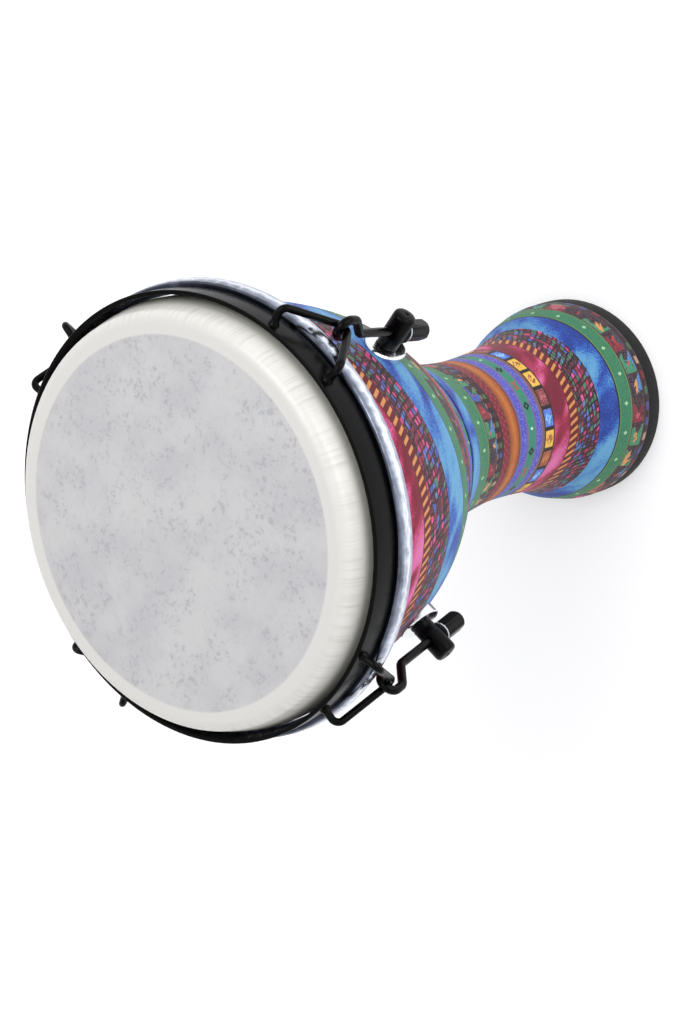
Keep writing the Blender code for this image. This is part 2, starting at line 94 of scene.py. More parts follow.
LUG_COUNT = 4
LUG_HEIGHT = RING_BOTTOM - 0.088
SADDLE_WIDTH = 0.026
SADDLE_HEIGHT = 0.034
SADDLE_THIN_EDGE = 0.0018
POST_REACH = 0.0262
POST_HEAD_RADIUS = 0.00775
POST_HEAD_LENGTH = 0.0175
POST_NECK_RADIUS = 0.0072
ROD_RADIUS = 0.003
ROD_TILT = math.radians(8.5)
ROD_INSET = 0.0146
ROD_BEND_RISE = 0.045
ROD_SLANT_RISE = 0.015
ROD_CORNER = 0.007
ROD_END_DROP = 0.023
HOOK_BEND = 0.0064
HOOK_DROP = 0.0005
HOOK_TIP = 0.0045
BAIL_WIRE = 0.0025
BAIL_SPREAD = math.radians(9.8)
BAIL_X = RING_OUTER + 0.0105
BAIL_TOP = RING_TOP - 0.0073
BAIL_DEPTH = 0.038
BAIL_CORNER = 0.005
BAIL_TIP = 0.006
NUT_FLATS = 0.013
NUT_LENGTH = 0.027
NUT_DOME = 0.006
NUT_DOME_RADIUS = 0.0076
SEAT_DROP = 0.00665
WASHER = 0.0012
WASHER_FLAT_RADIUS = 0.0086

# ---- the printed cloth: bands named by their print, with their lower and upper heights ------------------
STEM_BANDS = [
    ("squares", 0.0150, 0.0229, 40),
    ("shapes", 0.0229, 0.0377, 25),
    ("green", 0.0377, 0.0508, 20),
    ("line", 0.0508, 0.0520, 1),
    ("blue", 0.0520, 0.0690, 1),
    ("mosaic", 0.0690, 0.0924, 84),
    ("ladder", 0.0924, 0.1035, 58),
    ("pink", 0.1035, 0.1228, 1),
    ("blocks", 0.1228, 0.1360, 22),
    ("brown", 0.1360, 0.1386, 1),
    ("violet", 0.1386, 0.1480, 1),
    ("lozenges", 0.1480, 0.1576, 20),
    ("violet", 0.1576, 0.1697, 1),
    ("maroon", 0.1697, 0.1709, 1),
    ("rust", 0.1709, 0.1857, 1),
    ("dotted", 0.1857, 0.1960, 60),
    ("squares", 0.1960, 0.2044, 48),
    ("dashes", 0.2044, 0.2056, 48),
    ("shapes", 0.2056, 0.2190, 26),
    ("green", 0.2190, 0.2385, 19),
    ("line", 0.2385, 0.2395, 1),
    ("blue", 0.2395, SEAM_HEIGHT, 1),
]
BOWL_BANDS = [
    ("blocks", 0.2300, 0.2450, 26),
    ("brown", 0.2450, 0.2475, 1),
    ("violet", 0.2475, 0.2570, 1),
    ("lozenges", 0.2570, 0.2660, 24),
    ("violet", 0.2660, 0.2765, 1),
    ("maroon", 0.2765, 0.2775, 1),
    ("rust", 0.2775, 0.2925, 1),
    ("dotted", 0.2925, 0.3025, 96),
    ("squares", 0.3025, 0.3080, 72),
    ("shapes", 0.3080, 0.3220, 34),
    ("green", 0.3220, 0.3363, 31),
    ("line", 0.3363, 0.3375, 1),
    ("blue", 0.3375, 0.3677, 1),
    ("mosaic", 0.3677, 0.3962, 150),
    ("ladder", 0.3962, 0.4066, 124),
    ("pink", 0.4066, CLOTH_TOP, 1),
]
PRINT_RISE = 0.0155
PRINT_LOW_SIDE = math.radians(-59.4)


# ---- outlines ---------------------------------------------------------------------------------------
def flowing(points, per_span=10):
    """A Catmull-Rom curve through the points."""
    out = []
    for i in range(len(points) - 1):
        p0 = Vector(points[max(i - 1, 0)])
        p1 = Vector(points[i])
        p2 = Vector(points[i + 1])
        p3 = Vector(points[min(i + 2, len(points) - 1)])
        for k in range(per_span):
            t = k / per_span
            out.append(
                0.5 * (2 * p1 + (p2 - p0) * t + (2 * p0 - 5 * p1 + 4 * p2 - p3) * t**2
                       + (3 * p1 - p0 - 3 * p2 + p3) * t**3)
            )
    out.append(Vector(points[-1]))
    return out


def covered_outline():
    """The drum's outside over the cloth as (radius, height), from the floor up."""
    step = RIM_RADIUS - NECK_RADIUS
    points = [(NECK_RADIUS + s * step, BOWL_TOP - d * (BOWL_TOP - NECK_HEIGHT)) for d, s in BOWL_SHAPE]
    step = NECK_RADIUS - WAIST_RADIUS
    points += [(WAIST_RADIUS + s * step, NECK_HEIGHT - d * (NECK_HEIGHT - WAIST_HEIGHT)) for d, s in NECK_SHAPE]
    step = FOOT_RADIUS - WAIST_RADIUS
    points += [(WAIST_RADIUS + s * step, WAIST_HEIGHT * (1 - d)) for d, s in FLARE_SHAPE]
    points += [(FOOT_RADIUS, FOOT_BAND)]
    curve = [Vector((RIM_RADIUS, HEIGHT)), *flowing(points), Vector((FOOT_RADIUS, 0.0))]
    return curve[::-1]


OUTLINE = covered_outline()
OUTLINE_HEIGHTS = [p.y for p in OUTLINE]


def covered_radius(height):
    i = min(max(bisect.bisect(OUTLINE_HEIGHTS, height), 1), len(OUTLINE) - 1)
    low, high = OUTLINE[i - 1], OUTLINE[i]
    return low.x + (high.x - low.x) * (height - low.y) / (high.y - low.y)


def offset(outline, distance):
    """The (radius, height) outline moved sideways; positive goes outward when it runs upward."""
    out = []
    for i, point in enumerate(outline):
        along = (outline[min(i + 1, len(outline) - 1)] - outline[max(i - 1, 0)]).normalized()
        out.append(point + distance * Vector((along.y, -along.x)))
    return out


def rounded(corners, radius, steps=4):
    """A closed (radius, height) outline with every corner rounded."""
    out = []
    count = len(corners)
    for i in range(count):
        corner = Vector(corners[i])
        back = (Vector(corners[i - 1]) - corner).normalized()
        ahead = (Vector(corners[(i + 1) % count]) - corner).normalized()
        start = corner + back * radius
        end = corner + ahead * radius
        for k in range(steps + 1):
            t = k / steps
            out.append((1 - t) ** 2 * start + 2 * t * (1 - t) * corner + t**2 * end)
    return out


# ---- mesh tools ---------------------------------------------------------------------------------------
def add_object(name, mesh, *materials):
    obj = bpy.data.objects.new(name, mesh)
    bpy.context.scene.collection.objects.link(obj)
    for mat in materials:
        mesh.materials.append(mat)
    return obj


def smooth(mesh, angle=35):
    mesh.shade_smooth()
    mesh.set_sharp_from_angle(angle=math.radians(angle))


def revolve(name, outline, segments, closed=False, reshape=None):
    """A mesh of a (radius, height) outline turned round Z; reshape(angle, radius, height) may move points."""
    mesh = bpy.data.meshes.new(name)
    bm = bmesh.new()
    rings = []
    for radius, height in outline:
        ring = []
        for k in range(segments):
            angle = math.tau * k / segments
            r, z = reshape(angle, radius, height) if reshape else (radius, height)
            ring.append(bm.verts.new((r * math.cos(angle), r * math.sin(angle), z)))
        rings.append(ring)
    pairs = list(zip(rings, rings[1:]))
    if closed:
        pairs.append((rings[-1], rings[0]))
    for low, high in pairs:
        for k in range(segments):
            j = (k + 1) % segments
            bm.faces.new((low[k], low[j], high[j], high[k]))
    bmesh.ops.remove_doubles(bm, verts=bm.verts, dist=1e-6)
    bmesh.ops.recalc_face_normals(bm, faces=bm.faces)
    bm.to_mesh(mesh)
    bm.free()
    smooth(mesh)
    return mesh


def tube(name, points, radii, sides=20):
    """A round bar along the points with a radius at each, closed at both ends."""
    mesh = bpy.data.meshes.new(name)
    bm = bmesh.new()
    rings = []
    side = Vector((0, 1, 0))
    for i, point in enumerate(points):
        along = (points[min(i + 1, len(points) - 1)] - points[max(i - 1, 0)]).normalized()
        side = (side - along * side.dot(along)).normalized()
        other = along.cross(side)
        ring = []
        for k in range(sides):
            angle = math.tau * k / sides
            spoke = side * math.cos(angle) + other * math.sin(angle)
            ring.append(bm.verts.new(point + radii[i] * spoke))
        rings.append(ring)
    for low, high in zip(rings, rings[1:]):
        for k in range(sides):
            j = (k + 1) % sides
            bm.faces.new((low[k], low[j], high[j], high[k]))
    bm.faces.new(rings[0][::-1])
    bm.faces.new(rings[-1])
    bmesh.ops.recalc_face_normals(bm, faces=bm.faces)
    bm.to_mesh(mesh)
    bm.free()
    smooth(mesh, 50)
    return mesh


def rounded_path(corners, radii, step=math.radians(7)):
    """A path through the corners, each inner one rounded to its radius."""
    points = [Vector(corners[0])]
    for i in range(1, len(corners) - 1):
        corner = Vector(corners[i])
        back = (Vector(corners[i - 1]) - corner).normalized()
        ahead = (Vector(corners[i + 1]) - corner).normalized()
        turn = math.pi - back.angle(ahead)
        inset = radii[i - 1] * math.tan(turn / 2)
        centre = corner + (back + ahead).normalized() * radii[i - 1] / math.cos(turn / 2)
        start = corner + back * inset - centre
        axis = start.cross(corner + ahead * inset - centre).normalized()
        steps = max(3, math.ceil(turn / step))
        for k in range(steps + 1):
            points.append(centre + Matrix.Rotation(turn * k / steps, 3, axis) @ start)
    points.append(Vector(corners[-1]))
    return points


def rounded_ends(points, radius, first=False, last=False):
    """Points and radii of a bar whose named ends close in a half dome."""
    radii = [radius] * len(points)
    dome = [math.radians(d) for d in (25, 45, 62, 76, 86)]
    for at_start in [True] * first + [False] * last:
        end, before = (points[0], points[1]) if at_start else (points[-1], points[-2])
        along = (end - before).normalized()
        extra = [end + along * radius * (math.sin(d) - 1) for d in dome]
        rims = [radius * math.cos(d) for d in dome]
        base = end - along * radius
        if at_start:
            points = [*extra[::-1], base, *points[1:]]
            radii = [*rims[::-1], radius, *radii[1:]]
        else:
            points = [*points[:-1], base, *extra]
            radii = [*radii[:-1], radius, *rims]
    return points, radii


def drilled(mesh, *rods):
    """The mesh with a round bar cut out of it for each (radius, start, end)."""
    obj = add_object(mesh.name, mesh)
    cutters = []
    for radius, start, end in rods:
        cutter = add_object("cutter", tube("cutter", [Vector(start), Vector(end)], [radius, radius], 40))
        boolean = obj.modifiers.new("drill", "BOOLEAN")
        boolean.operation = "DIFFERENCE"
        boolean.solver = "EXACT"
        boolean.object = cutter
        cutters.append(cutter)
    bpy.context.view_layer.update()
    done = bpy.data.meshes.new_from_object(obj.evaluated_get(bpy.context.evaluated_depsgraph_get()))
    for each in (obj, *cutters):
        bpy.data.objects.remove(each, do_unlink=True)
    smooth(done)
    return done


def at_lugs(name, mesh, mat, body, cad_node, place=None):
    """One piece at each lug. CAD nodes are numbered like the lugs, and so is a body with a gap in its name."""
    mesh.materials.clear()
    mesh.materials.append(mat)
    for k in range(LUG_COUNT):
        obj = bpy.data.objects.new(f"{name}_{k + 1}", mesh)
        bpy.context.scene.collection.objects.link(obj)
        turn = Matrix.Rotation(math.tau * k / LUG_COUNT, 4, "Z")
        obj.matrix_world = turn @ place if place else turn
        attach(obj, body.format(k + 1))
        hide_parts(f"{cad_node}_{k + 1}")


# ---- node tools -----------------------------------------------------------------------------------------
USUAL_SETTINGS = {"Mix": {"data_type": "RGBA"}, "MapRange": {"interpolation_type": "SMOOTHSTEP"}}


def linear(code):
    """An sRGB hex colour as linear RGBA."""
    out = []
    for i in (1, 3, 5):
        c = int(code[i : i + 2], 16) / 255
        out.append(c / 12.92 if c <= 0.04045 else ((c + 0.055) / 1.055) ** 2.4)
    return (*out, 1.0)


def node(tree, kind, *inputs, out=None, **named):
    """Adds a shader node and returns its first output, or the one named. A kind in capitals is an operation of
    the Math node. Plain inputs fill the sockets in order; a name with a capital is a socket and any other is a
    setting. A socket is linked, and an sRGB hex colour is made linear."""
    made = tree.nodes.new("ShaderNode" + ("Math" if kind.isupper() else kind))
    settings = USUAL_SETTINGS.get(kind, {}) | {key: value for key, value in named.items() if key.islower()}
    if kind.isupper():
        settings["operation"] = kind
    for key, value in settings.items():
        setattr(made, key, value)
    pairs = list(zip([socket for socket in made.inputs if socket.enabled], inputs))
    pairs += [(made.inputs[key.replace("_", " ")], value) for key, value in named.items() if not key.islower()]
    for socket, value in pairs:
        if isinstance(value, bpy.types.NodeSocket):
            tree.links.new(value, socket)
        else:
            socket.default_value = linear(value) if isinstance(value, str) else value
    return made.outputs[out] if out else next(socket for socket in made.outputs if socket.enabled)


def colored(ramp, colors, interpolation="CONSTANT"):
    """Spreads the colours evenly over a colour ramp, from 0 to 1, and returns its output."""
    stops = ramp.node.color_ramp
    stops.interpolation = interpolation
    last = len(colors) if interpolation == "CONSTANT" else len(colors) - 1
    for i, color in enumerate(colors):
        stop = stops.elements[i] if i < 2 else stops.elements.new(i / last)
        stop.position = i / last
        stop.color = linear(color)
    return ramp


def random_of(tree, *numbers):
    """A random number from 0 to 1 for each set of whole numbers."""
    return node(tree, "TexWhiteNoise", node(tree, "CombineXYZ", *numbers), noise_dimensions="3D")


def new_material(name, color, rough, metal=0.0, ior=None, normal=None, **extra):
    """A Principled material; each argument is a value, or a socket of the material begun by start()."""
    mat = bpy.data.materials[name]
    shader = mat.node_tree.nodes["Principled BSDF"]
    inputs = {"Base Color": color, "Roughness": rough, "Metallic": metal}
    if ior:
        inputs["IOR"] = ior
    if normal:
        inputs["Normal"] = normal
    inputs.update({key.replace("_", " "): value for key, value in extra.items()})
    for key, value in inputs.items():
        if isinstance(value, bpy.types.NodeSocket):
            mat.node_tree.links.new(value, shader.inputs[key])
        else:
            shader.inputs[key].default_value = value
    return mat


def start(name):
    """Begins a material and returns its node tree."""
    mat = bpy.data.materials.new(name)
    mat.use_nodes = True
    return mat.node_tree


# ---- the cloth's prints -----------------------------------------------------------------------------
class Band:
    """Where a point lies on one printed band: turns round the drum, height of the print, share across."""

    def __init__(self, tree, low, high, count):
        uv = node(tree, "UVMap", uv_map="print")
        parts = node(tree, "SeparateXYZ", uv).node.outputs
        self.tree = tree
        self.count = count
        self.turn = parts["X"]
        self.rise = parts["Y"]
        self.across = node(tree, "DIVIDE", node(tree, "SUBTRACT", self.rise, low), high - low)
        slant = node(tree, "MULTIPLY", self.rise, 9.0)
        place = node(tree, "TexCoord", out="Object")
        self.place = node(tree, "VectorRotate", Vector=place, Angle=slant, rotation_type="Z_AXIS")

    def cells(self, value):
        """The whole part of a value and the rest of it, from -0.5 to 0.5."""
        whole = node(self.tree, "FLOOR", value)
        return whole, node(self.tree, "SUBTRACT", node(self.tree, "SUBTRACT", value, whole), 0.5)

    def around(self, shift=0.0):
        return self.cells(node(self.tree, "ADD", node(self.tree, "MULTIPLY", self.turn, self.count), shift))

    def edge_share(self, width):
        """1 within a share of the band's width from either side, 0 inside."""
        middle = node(self.tree, "ABSOLUTE", node(self.tree, "SUBTRACT", self.across, 0.5))
        return node(self.tree, "MapRange", middle, 0.5 - width, 0.5 - width * 0.6)


def grain(band, color, light, amount=0.5, scale=1500):
    """Stipples a colour with fine grains of a lighter one."""
    speck = node(band.tree, "TexNoise", band.place, scale, 1.0)
    share = node(band.tree, "MULTIPLY", node(band.tree, "MapRange", speck, 0.5, 0.68), amount)
    return node(band.tree, "Mix", share, color, light)


def box_mask(tree, x, y, half_x, half_y, soft=0.06):
    """1 inside a box round the middle of a cell."""
    in_x = node(tree, "MapRange", node(tree, "SUBTRACT", node(tree, "ABSOLUTE", x), half_x), soft, 0.0)
    in_y = node(tree, "MapRange", node(tree, "SUBTRACT", node(tree, "ABSOLUTE", y), half_y), soft, 0.0)
    return node(tree, "MULTIPLY", in_x, in_y)


def lozenge_mask(tree, x, y, size_x, size_y):
    total = node(
        tree, "ADD", node(tree, "DIVIDE", node(tree, "ABSOLUTE", x), size_x),
        node(tree, "DIVIDE", node(tree, "ABSOLUTE", y), size_y),
    )
    return node(tree, "MapRange", total, 1.12, 0.92)


def paint_blue(b):
    cloud = node(b.tree, "TexNoise", b.place, 36, 2.0, 0.5, 2.0, 0.3)
    speck = node(b.tree, "TexNoise", b.place, 1100, 1.0)
    value = node(b.tree, "ADD", cloud, node(b.tree, "MULTIPLY", node(b.tree, "SUBTRACT", speck, 0.5), 0.5))
    colors = ["#16307E", "#1D3F98", "#2B59AC", "#3F7AB0", "#4F8BB8", "#5A95BB"]
    spread = node(b.tree, "MapRange", value, 0.34, 0.66, interpolation_type="LINEAR")
    return colored(node(b.tree, "ValToRGB", spread), colors, "LINEAR")


def paint_pink(b):
    cloud = node(b.tree, "TexNoise", b.place, 38, 1.0, 0.5, 2.0, 0.3)
    speck = node(b.tree, "TexNoise", b.place, 1100, 1.0)
    value = node(b.tree, "ADD", cloud, node(b.tree, "MULTIPLY", node(b.tree, "SUBTRACT", speck, 0.5), 0.3))
    colors = ["#6A0A28", "#7C0E30", "#92183C", "#AE3A66", "#C0588C", "#C8649A"]
    spread = node(b.tree, "MapRange", value, 0.38, 0.66, interpolation_type="LINEAR")
    return colored(node(b.tree, "ValToRGB", spread), colors, "LINEAR")


def paint_green(b):
    index, x = b.around()
    y = node(b.tree, "SUBTRACT", b.across, 0.5)
    away = node(b.tree, "SUBTRACT", random_of(b.tree, index, 3.0, 1.0), 0.5)
    y = node(b.tree, "ADD", y, node(b.tree, "MULTIPLY", away, 0.2))
    dot = lozenge_mask(b.tree, x, y, 0.075, 0.15)
    base = grain(b, "#2A6A4A", "#4C8F6C", 0.7)
    base = node(b.tree, "Mix", b.edge_share(0.1), base, "#5C7A4A")
    return node(b.tree, "Mix", node(b.tree, "MULTIPLY", dot, 0.75), base, "#A6CFA0")


def paint_mosaic(b):
    sway = node(b.tree, "TexNoise", b.place, 45, 1.0)
    rows = node(b.tree, "MULTIPLY_ADD", b.across, 7.0, node(b.tree, "MULTIPLY", sway, 1.6))
    row, y = b.cells(rows)
    shift = node(b.tree, "MULTIPLY", row, 0.37)
    lean = node(b.tree, "MULTIPLY", y, 0.45)
    column, x = b.around(node(b.tree, "ADD", shift, node(b.tree, "MULTIPLY_ADD", sway, 1.2, lean)))
    pick = random_of(b.tree, column, row, 7.0)
    wide = node(b.tree, "MULTIPLY_ADD", random_of(b.tree, column, row, 2.0), 0.26, 0.14)
    tall = node(b.tree, "MULTIPLY_ADD", random_of(b.tree, column, row, 4.0), 0.2, 0.2)
    tile = box_mask(b.tree, x, y, wide, tall, 0.12)
    colors = ["#8E1636", "#15101C", "#2E6E54", "#6A1230", "#2B4C9A", "#B42E6C", "#7A1430", "#15101C", "#3E76A0",
              "#C2407E", "#3A1226", "#24604A", "#3C62B4", "#4A1028"]
    ink = grain(b, colored(node(b.tree, "ValToRGB", pick), colors), "#D8A0A8", 0.3)
    ground = node(b.tree, "Mix", node(b.tree, "MapRange", sway, 0.45, 0.55), "#140C16", "#3A0E20")
    return node(b.tree, "Mix", tile, ground, ink)


def paint_ladder(b):
    lean = node(b.tree, "MULTIPLY", b.across, 0.8)
    _, x = b.around(lean)
    bar = node(b.tree, "MapRange", node(b.tree, "ABSOLUTE", x), 0.24, 0.16)
    inside = node(b.tree, "SUBTRACT", 1.0, b.edge_share(0.14))
    bar = node(b.tree, "MULTIPLY", bar, inside)
    gold = grain(b, "#BE7C46", "#DCA474", 0.5)
    return node(b.tree, "Mix", bar, grain(b, "#560C14", "#7A1A20", 0.5), gold)


def paint_shapes(b):
    sway = node(b.tree, "SUBTRACT", node(b.tree, "TexNoise", b.place, 110, 1.0), 0.5)
    index, x = b.around()
    x = node(b.tree, "MULTIPLY_ADD", sway, 0.9, x)
    y = node(b.tree, "MULTIPLY_ADD", sway, -0.7, node(b.tree, "SUBTRACT", b.across, 0.5))
    first = colored(
        node(b.tree, "ValToRGB", random_of(b.tree, index, 1.0, 5.0)),
        ["#2450A8", "#7A1828", "#C42A78", "#2E7D5A", "#1A1420", "#B46A44"],
    )
    second = colored(
        node(b.tree, "ValToRGB", random_of(b.tree, index, 2.0, 5.0)),
        ["#1A1420", "#5A1020", "#3A78B0", "#16304A", "#2E7D5A"],
    )
    third = colored(
        node(b.tree, "ValToRGB", random_of(b.tree, index, 3.0, 5.0)),
        ["#A84A5A", "#D23C86", "#3B7ED0", "#A03028", "#C88A4A"],
    )
    half = node(b.tree, "MapRange", node(b.tree, "SUBTRACT", x, y), -0.05, 0.05)
    other = node(b.tree, "MapRange", node(b.tree, "ADD", x, y), -0.05, 0.05)
    base = node(b.tree, "Mix", half, first, second)
    base = node(b.tree, "Mix", node(b.tree, "MULTIPLY", half, other), base, "#241018")
    size = node(b.tree, "MULTIPLY_ADD", random_of(b.tree, index, 5.0, 5.0), 0.3, 0.05)
    total = node(
        b.tree, "ADD", node(b.tree, "ABSOLUTE", node(b.tree, "ADD", x, 0.1)), node(b.tree, "ABSOLUTE", y),
    )
    base = node(
        b.tree, "Mix", node(b.tree, "MapRange", node(b.tree, "SUBTRACT", total, size), 0.05, 0.0), base, third,
    )
    fleck = node(b.tree, "MapRange", node(b.tree, "TexNoise", b.place, 420, 1.0), 0.6, 0.66)
    base = node(b.tree, "Mix", node(b.tree, "MULTIPLY", fleck, 0.8), base, "#120C14")
    base = node(b.tree, "Mix", b.edge_share(0.09), base, "#3A1A1E")
    return grain(b, base, "#B09098", 0.3)


def paint_squares(b):
    index, x = b.around()
    y = node(b.tree, "SUBTRACT", b.across, 0.5)
    ink = colored(
        node(b.tree, "ValToRGB", random_of(b.tree, index, 4.0, 9.0)),
        ["#6E1426", "#2B2030", "#A88A72", "#2B4488", "#6E1426", "#35603E", "#2B2030"],
    )
    return grain(
        b, node(b.tree, "Mix", box_mask(b.tree, x, y, 0.2, 0.22, 0.1), "#1C0E14", ink), "#7A3040", 0.35,
    )


def paint_dashes(b):
    _, x = b.around()
    return node(
        b.tree, "Mix", node(b.tree, "MapRange", node(b.tree, "ABSOLUTE", x), 0.3, 0.2), "#1C0E14", "#9A7A5A",
    )


def paint_dotted(b):
    row, y = b.cells(node(b.tree, "MULTIPLY", b.across, 3.0))
    _, x = b.around(node(b.tree, "MULTIPLY", row, 0.5))
    dot = lozenge_mask(b.tree, x, y, 0.26, 0.26)
    base = node(b.tree, "Mix", b.edge_share(0.12), "#6B1220", "#35101A")
    return grain(b, node(b.tree, "Mix", node(b.tree, "MULTIPLY", dot, 0.6), base, "#B04A58"), "#9A3040", 0.4)


def paint_rust(b):
    middle = node(b.tree, "ABSOLUTE", node(b.tree, "SUBTRACT", b.across, 0.45))
    base = colored(
        node(b.tree, "ValToRGB", node(b.tree, "MULTIPLY", middle, 2.0)), ["#AE6428", "#9A4A1A", "#6E3014"],
        "LINEAR",
    )
    streak = node(b.tree, "TexNoise", b.place, 220, 2.0)
    base = node(
        b.tree, "Mix", node(b.tree, "MULTIPLY", node(b.tree, "MapRange", streak, 0.5, 0.7), 0.4), base,
        "#7A3A1C",
    )
    return grain(b, base, "#D08A40", 0.35)


def paint_violet(b):
    base = grain(b, "#3C3FA6", "#8288DC", 0.85, 900)
    base = node(b.tree, "Mix", b.edge_share(0.22), base, "#6A5A78")
    cloud = node(b.tree, "MapRange", node(b.tree, "TexNoise", b.place, 260, 2.0), 0.45, 0.65)
    return node(b.tree, "Mix", node(b.tree, "MULTIPLY", cloud, 0.4), base, "#5E4C96")


def paint_lozenges(b):
    index, x = b.around()
    y = node(b.tree, "SUBTRACT", b.across, 0.5)
    kind = node(b.tree, "MODULO", index, 4.0)
    black = lozenge_mask(b.tree, x, y, 0.2, 0.42)
    ring = node(b.tree, "SUBTRACT", black, lozenge_mask(b.tree, x, y, 0.07, 0.13))
    apart = node(b.tree, "SUBTRACT", node(b.tree, "ABSOLUTE", x), node(b.tree, "ABSOLUTE", y))
    arms = node(b.tree, "MapRange", node(b.tree, "ABSOLUTE", apart), 0.12, 0.05)
    cross = node(b.tree, "MULTIPLY", arms, lozenge_mask(b.tree, x, y, 0.34, 0.6))
    base = grain(b, "#26775E", "#3F9478", 0.5)
    base = node(b.tree, "Mix", b.edge_share(0.12), base, "#4A6E8A")
    is_red = node(b.tree, "COMPARE", kind, 3.0, 0.2)
    is_light = node(b.tree, "COMPARE", kind, 1.0, 0.2)
    dark = node(b.tree, "MULTIPLY", ring, node(b.tree, "SUBTRACT", 1.0, node(b.tree, "ADD", is_red, is_light)))
    base = node(b.tree, "Mix", dark, base, "#10181A")
    base = node(b.tree, "Mix", node(b.tree, "MULTIPLY", cross, is_red), base, "#A8322E")
    light = node(b.tree, "MULTIPLY", lozenge_mask(b.tree, x, y, 0.08, 0.2), is_light)
    return node(b.tree, "Mix", light, base, "#A8D8B8")


def paint_blocks(b):
    index, x = b.around()
    y = node(b.tree, "SUBTRACT", b.across, 0.5)
    turn = node(b.tree, "DIVIDE", node(b.tree, "MODULO", index, 6.0), 6.0)
    turn = node(b.tree, "ADD", turn, 0.02)
    ink = colored(
        node(b.tree, "ValToRGB", turn), ["#D8A83C", "#2B62C4", "#6A1430", "#D8A83C", "#2B62C4", "#8A3A1E"],
    )
    mark = colored(
        node(b.tree, "ValToRGB", turn), ["#8A3A1E", "#6FB0DC", "#A84A58", "#8A3A1E", "#6FB0DC", "#B4642E"],
    )
    star = node(b.tree, "TexNoise", b.place, 420, 1.0)
    figure = node(
        b.tree, "MULTIPLY", lozenge_mask(b.tree, x, y, 0.3, 0.36), node(b.tree, "MapRange", star, 0.42, 0.52),
    )
    ink = grain(b, node(b.tree, "Mix", figure, ink, mark), "#F0D8A0", 0.3)
    return node(b.tree, "Mix", box_mask(b.tree, x, y, 0.38, 0.36, 0.05), "#160E14", ink)


def paint_plain(color, light):
    return lambda b: grain(b, color, light, 0.4)


PAINTS = {
    "blue": paint_blue,
    "pink": paint_pink,
    "green": paint_green,
    "mosaic": paint_mosaic,
    "ladder": paint_ladder,
    "shapes": paint_shapes,
    "squares": paint_squares,
    "dashes": paint_dashes,
    "dotted": paint_dotted,
    "rust": paint_rust,
    "violet": paint_violet,
    "lozenges": paint_lozenges,
    "blocks": paint_blocks,
    "line": paint_plain("#0C1418", "#24323A"),
    "brown": paint_plain("#6E4A3A", "#A08068"),
    "maroon": paint_plain("#5A1020", "#8A3040"),
}


def printed_cloth(name, kind, low, high, count):
    """Printed polyester cloth pulled tight: a fine plain weave, a dry surface and a faint sheen at the
    sides."""
    tree = start(name)
    band = Band(tree, low, high, count)
    color = PAINTS[kind](band)
    warp = node(tree, "SINE", node(tree, "MULTIPLY", band.turn, math.tau * 900))
    weft = node(tree, "SINE", node(tree, "MULTIPLY", band.rise, math.tau / 0.0006))
    weave = node(tree, "MULTIPLY", warp, weft)
    slub = node(tree, "TexNoise", band.place, 90, 2.0)
    normal = node(
        tree, "Bump", Height=weave, Strength=0.35, Distance=0.00008,
        Normal=node(tree, "Bump", Height=slub, Strength=0.15, Distance=0.0006),
    )
    rough = node(tree, "MULTIPLY_ADD", slub, 0.2, 0.55)
    return new_material(name, color, rough, ior=1.5, normal=normal, Sheen_Weight=0.06, Sheen_Roughness=0.4,
                        Specular_IOR_Level=0.35)


# ---- the other materials ------------------------------------------------------------------------------
def head_film():
    """Coated polyester film: a matte grey, fibre-flecked patch in the middle, and a milky collar round it
    that is smoother and lets some light through, with painted shade in its colour: dark radial streaks
    towards its rim and a darker band next to the tension ring."""
    tree = start("coated film")
    place = node(tree, "TexCoord", out="Object")
    parts = node(tree, "SeparateXYZ", place).node.outputs
    flat = node(tree, "CombineXYZ", X=parts["X"], Y=parts["Y"])
    radius = node(tree, "VectorMath", flat, operation="LENGTH")
    collar = node(tree, "MapRange", radius, PATCH_RADIUS - 0.0008, PATCH_RADIUS + 0.0012)
    cloud = node(tree, "TexNoise", place, 30, 4.0, 0.6)
    patch = node(tree, "Mix", node(tree, "MapRange", cloud, 0.3, 0.7), "#C2C1C1", "#B6B5B8")
    fleck = node(tree, "TexNoise", place, 300, 3.0, 0.7)
    area = node(tree, "MapRange", node(tree, "TexNoise", place, 60, 2.0), 0.38, 0.58)
    share = node(
        tree, "MULTIPLY", node(tree, "MapRange", fleck, 0.52, 0.64), node(tree, "MULTIPLY_ADD", area, 0.5, 0.1),
    )
    patch = node(tree, "Mix", share, patch, "#97999F")
    outward = node(tree, "VectorMath", flat, operation="NORMALIZE")
    # Painted shade: dark radial streaks on the outer collar and a darker band next to the tension ring, mixed
    # into the milky collar colour.
    streak = node(tree, "MapRange", node(tree, "TexNoise", outward, 42, 4.0, 0.7), 0.42, 0.7)
    painted_wrinkle_shade = node(tree, "MULTIPLY", streak, node(tree, "MapRange", radius, 0.1270, 0.1380))
    shade = node(
        tree, "MAXIMUM", node(tree, "MapRange", radius, 0.1362, 0.1412), node(tree, "MULTIPLY", painted_wrinkle_shade, 0.55),
    )
    milky_with_painted_shade = node(tree, "Mix", shade, "#D3D1CC", "#A9AA9E")
    color = node(tree, "Mix", collar, patch, milky_with_painted_shade)
    tooth = node(tree, "TexNoise", place, 1400, 2.0)
    depth = node(tree, "MULTIPLY", tooth, node(tree, "SUBTRACT", 1.0, collar))
    normal = node(tree, "Bump", Height=depth, Strength=0.25, Distance=0.0001)
    rough = node(tree, "MULTIPLY_ADD", collar, -0.22, 0.55)
    return new_material("coated film", color, rough, ior=1.57, normal=normal, Subsurface_Weight=0.15,
                        Subsurface_Radius=(0.004, 0.004, 0.004), Subsurface_Scale=0.5)


